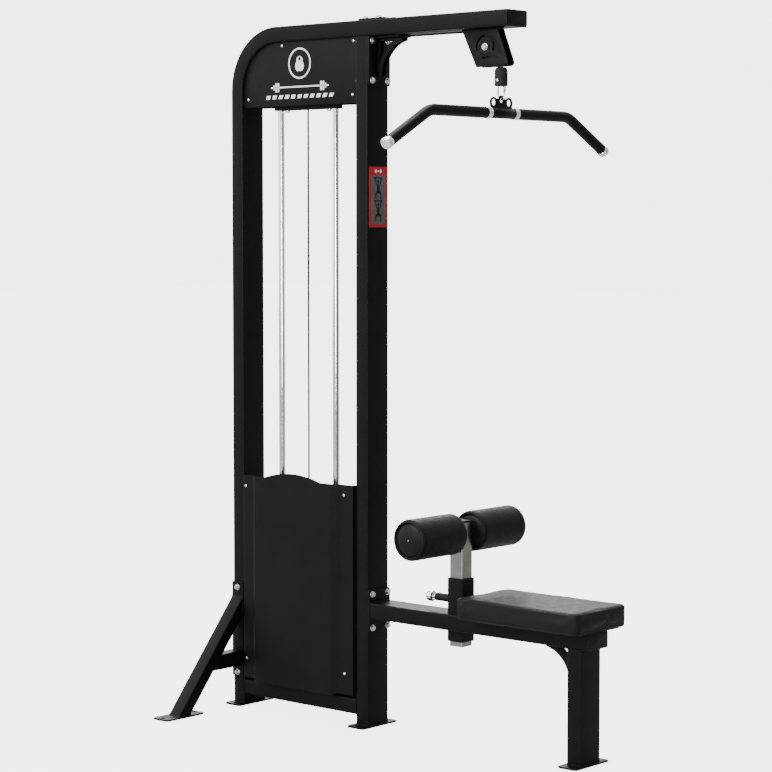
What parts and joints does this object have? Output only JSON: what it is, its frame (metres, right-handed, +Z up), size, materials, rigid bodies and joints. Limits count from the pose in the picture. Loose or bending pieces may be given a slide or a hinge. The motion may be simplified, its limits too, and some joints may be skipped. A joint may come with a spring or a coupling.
{
  "type": "lat pulldown machine",
  "caption": "Cable gym station with a steel tower, guarded weight stack, overhead beam, hanging pull-down bar, adjustable thigh rollers and a padded seat",
  "frame": {"origin": "centre of the object's box in plan, on the floor", "axes": "+Z up, +X forward from the tower to the seat, +Y to the left of a person facing forward"},
  "size_m": [1.506, 1.0746, 2.255],
  "materials": {
    "frame_paint": "satin black powder coat on steel tube and plate",
    "sheet_paint": "satin black powder coat on folded sheet",
    "black_plastic": "moulded black plastic",
    "black_rubber": "moulded black rubber",
    "chrome": "polished chrome plate",
    "zinc": "zinc plated steel",
    "stack_iron": "black painted cast iron plates",
    "roller_foam": "black foam roll in a vinyl cover",
    "seat_vinyl": "black synthetic leather over foam",
    "cable_coat": "black nylon coated steel cable",
    "pin_red": "red moulded knob on a steel pin",
    "placard_red": "printed placard, red border"
  },
  "bodies": {
    "frame": {"beam_clamp_plate": "frame_paint", "beam_end_cap": "black_plastic", "bottom_beam": "frame_paint", "cable_bar_drop": "cable_coat", "cable_stack_drop": "cable_coat", "cable_top_run": "cable_coat", "foot_front": "frame_paint", "foot_rear": "frame_paint", "foot_seat": "frame_paint", "front_cheek_far": "frame_paint", "front_cheek_near": "frame_paint", "front_pulley_axle": "zinc", "front_upright": "frame_paint", "guard_far": "sheet_paint", "guard_near": "sheet_paint", "guide_rod_front": "chrome", "guide_rod_rear": "chrome", "head_panel_far": "sheet_paint", "head_panel_near": "sheet_paint", "main_tube": "frame_paint", "placard": "placard_red", "pop_pin_barrel": "black_plastic", "post_sleeve": "frame_paint", "rear_cheek_far": "frame_paint", "rear_cheek_near": "frame_paint", "rear_pulley_axle": "zinc", "resting_plates": "stack_iron", "rod_bracket": "frame_paint", "seat_beam": "frame_paint", "seat_beam_cap": "black_plastic", "seat_gusset": "frame_paint", "seat_pad": "seat_vinyl", "seat_pan": "frame_paint", "seat_post": "frame_paint", "stabiliser_far": "frame_paint", "stabiliser_near": "frame_paint", "stack_bumper": "black_rubber", "top_gusset": "frame_paint"},
    "lifted_stack": {"head_plate": "stack_iron", "weight_plate_1": "stack_iron", "weight_plate_2": "stack_iron", "weight_plate_3": "stack_iron", "weight_plate_4": "stack_iron", "selector_stem": "zinc"},
    "stack_pin": {"selector_pin": "pin_red"},
    "cable_end": {"cable_ferrule": "zinc"},
    "swivel": {"cable_stop": "black_rubber", "link": "chrome"},
    "ear_plate": {"hanger": "frame_paint"},
    "pull_bar": {"lat_bar": "frame_paint", "bar_cap_near": "chrome", "bar_cap_far": "chrome"},
    "front_wheel": {"front_pulley": "black_plastic"},
    "rear_wheel": {"rear_pulley": "black_plastic"},
    "thigh_hold": {"thigh_post": "chrome", "roller_axle": "zinc"},
    "thigh_roll_near": {"roller_near": "roller_foam"},
    "thigh_roll_far": {"roller_far": "roller_foam"},
    "pull_knob": {"pop_pin_plunger": "chrome"}
  },
  "joints": [
    {"name": "stack_lift", "type": "slide", "parent": "frame", "child": "lifted_stack", "axis": [0, 0, 1], "range_m": [0, 1], "deforming": ["cable_stack_drop"]},
    {"name": "stack_pin_pull", "type": "slide", "parent": "lifted_stack", "child": "stack_pin", "axis": [0, 1, 0], "range_m": [0, 0.075]},
    {"name": "bar_pull", "type": "slide", "parent": "frame", "child": "cable_end", "axis": [0, 0, -1], "range_m": [0, 1], "deforming": ["cable_bar_drop"]},
    {"name": "bar_swivel", "type": "hinge", "parent": "cable_end", "child": "swivel", "pos_m": [0.36, 0, 2.06], "axis": [0, 0, 1], "range_deg": [-45, 45]},
    {"name": "bar_tilt", "type": "hinge", "parent": "swivel", "child": "ear_plate", "pos_m": [0.36, 0, 1.9845], "axis": [1, 0, 0], "range_deg": [-20, 20]},
    {"name": "bar_roll", "type": "hinge", "parent": "ear_plate", "child": "pull_bar", "pos_m": [0.36, 0, 1.9435], "axis": [0, 1, 0], "continuous": true},
    {"name": "front_pulley_spin", "type": "hinge", "parent": "frame", "child": "front_wheel", "pos_m": [0.31, 0, 2.144], "axis": [0, 1, 0], "range_deg": [0, 1150]},
    {"name": "rear_pulley_spin", "type": "hinge", "parent": "frame", "child": "rear_wheel", "pos_m": [-0.3905, 0, 2.144], "axis": [0, 1, 0], "range_deg": [0, 1150]},
    {"name": "thigh_height", "type": "slide", "parent": "frame", "child": "thigh_hold", "axis": [0, 0, 1], "range_m": [-0.1, 0.1]},
    {"name": "thigh_roll_near_spin", "type": "hinge", "parent": "thigh_hold", "child": "thigh_roll_near", "pos_m": [0.207, -0.15, 0.656], "axis": [0, 1, 0], "continuous": true},
    {"name": "thigh_roll_far_spin", "type": "hinge", "parent": "thigh_hold", "child": "thigh_roll_far", "pos_m": [0.207, 0.15, 0.656], "axis": [0, 1, 0], "continuous": true},
    {"name": "lock_pin_pull", "type": "slide", "parent": "frame", "child": "pull_knob", "axis": [-1, 0, 0], "range_m": [0, 0.012], "stiffness_N_per_m": 1500, "springref_m": -0.008}
  ],
  "couplings": [
    {"joint": "bar_pull", "follows": "stack_lift", "ratio": 1},
    {"joint": "front_pulley_spin", "follows": "stack_lift", "rad_per_m": 20},
    {"joint": "rear_pulley_spin", "follows": "stack_lift", "rad_per_m": 20}
  ]
}
